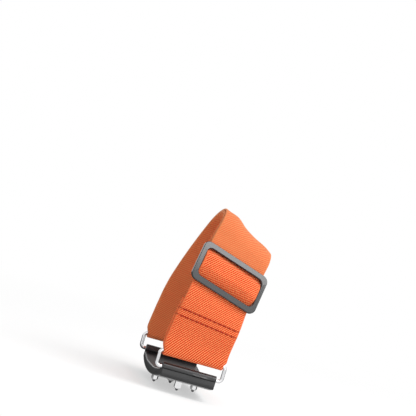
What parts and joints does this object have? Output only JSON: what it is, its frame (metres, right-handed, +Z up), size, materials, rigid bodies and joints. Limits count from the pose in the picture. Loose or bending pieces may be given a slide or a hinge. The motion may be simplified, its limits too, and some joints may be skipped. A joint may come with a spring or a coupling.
{
  "type": "ice_cleat",
  "caption": "Mid-sole ice cleat: a studded rubber pad worn under the arch of a shoe, held by an orange webbing strap on wire rings with a black slider",
  "frame": {"origin": "The middle of the flat seat on the pad's top, where the arch of the sole rests", "axes": "+X to the toe, -Y to the outer side of the foot where the slider is, +Z up along the leg"},
  "size_m": [0.0703, 0.0898, 0.1433],
  "materials": {
    "orange_webbing": "woven twill",
    "red_thread": "sewing thread",
    "pad_rubber": "matt moulded rubber",
    "slider_plastic": "moulded, slightly glossy",
    "ring_wire": "polished, plated wire",
    "bright_stud": "bright plated steel",
    "hard_tip": "dark sintered carbide",
    "plain_steel": "plain zinc plated"
  },
  "bodies": {
    "base": {"base_pad": "pad_rubber", "stiffener_disc": "plain_steel", "stud_front": "bright_stud", "stud_inner": "bright_stud", "stud_rear": "bright_stud", "stud_outer": "bright_stud", "stud_tip_front": "hard_tip", "stud_tip_inner": "hard_tip", "stud_tip_rear": "hard_tip", "stud_tip_outer": "hard_tip", "stud_insert_front": "plain_steel", "stud_insert_inner": "plain_steel", "stud_insert_rear": "plain_steel", "stud_insert_outer": "plain_steel"},
    "outer_ring": {"outer_ring": "ring_wire"},
    "inner_ring": {"inner_ring": "ring_wire"},
    "strap": {"strap_outer_leg": "orange_webbing", "strap_instep": "orange_webbing", "strap_return": "orange_webbing", "loop_stitching": "red_thread"},
    "slider": {"slider": "slider_plastic", "strap_slider_pass": "orange_webbing", "strap_sewn_end": "orange_webbing", "slider_stitching": "red_thread"}
  },
  "joints": [
    {"name": "outer_ring_swing", "type": "hinge", "parent": "base", "child": "outer_ring", "pos_m": [0, -0.0414, 0.005], "axis": [1, 0, 0], "range_deg": [-60, 60]},
    {"name": "strap_on_outer_ring", "type": "hinge", "parent": "outer_ring", "child": "strap", "pos_m": [0, -0.0414, 0.017], "axis": [1, 0, 0], "range_deg": [-60, 60]},
    {"name": "inner_ring_swing", "type": "hinge", "parent": "base", "child": "inner_ring", "pos_m": [0, 0.0414, 0.005], "axis": [1, 0, 0], "range_deg": [-60, 60]},
    {"name": "slider_slide", "type": "slide", "parent": "strap", "child": "slider", "axis": [0.2195, 0.4046, 0.8878], "range_m": [-0.012, 0.01], "deforming": ["strap_slider_pass", "strap_sewn_end", "slider_stitching"]}
  ],
  "couplings": [
    {"joint": "strap_on_outer_ring", "follows": "outer_ring_swing", "ratio": -1},
    {"joint": "inner_ring_swing", "follows": "outer_ring_swing", "ratio": 1}
  ]
}
